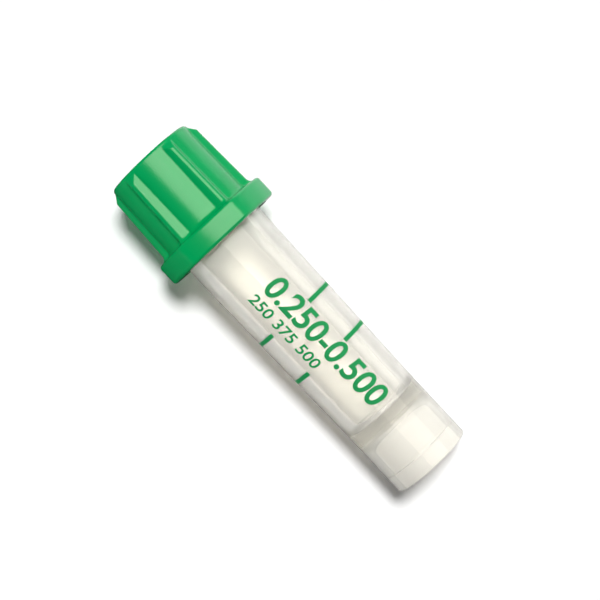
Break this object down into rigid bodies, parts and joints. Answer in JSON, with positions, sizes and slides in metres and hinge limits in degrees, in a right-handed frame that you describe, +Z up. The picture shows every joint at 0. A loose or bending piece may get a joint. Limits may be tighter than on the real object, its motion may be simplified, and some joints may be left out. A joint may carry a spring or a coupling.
{
  "type": "blood collection tube",
  "caption": "Small clear capillary blood collection tube with an open skirt below its floor, and a ribbed green closure that pulls off.",
  "frame": {"origin": "on the floor, under the middle of the laid tube's bounding box", "axes": "+X towards the closure, +Y across, +Z up; the tube's axis rises by 3.58 degrees towards +X, because it lies on its foot's rim and one side of the flange"},
  "size_m": [0.0456, 0.0146, 0.0138],
  "materials": {
    "tube": "clear moulded polypropylene",
    "closure": "moulded green polyethylene"
  },
  "bodies": {
    "tube": {"tube": "tube"},
    "closure": {"closure": "closure"}
  },
  "joints": [
    {"name": "closure_pull", "type": "slide", "parent": "tube", "child": "closure", "axis": [0.9981, 0, 0.0624], "range_m": [0, 0.014]}
  ]
}
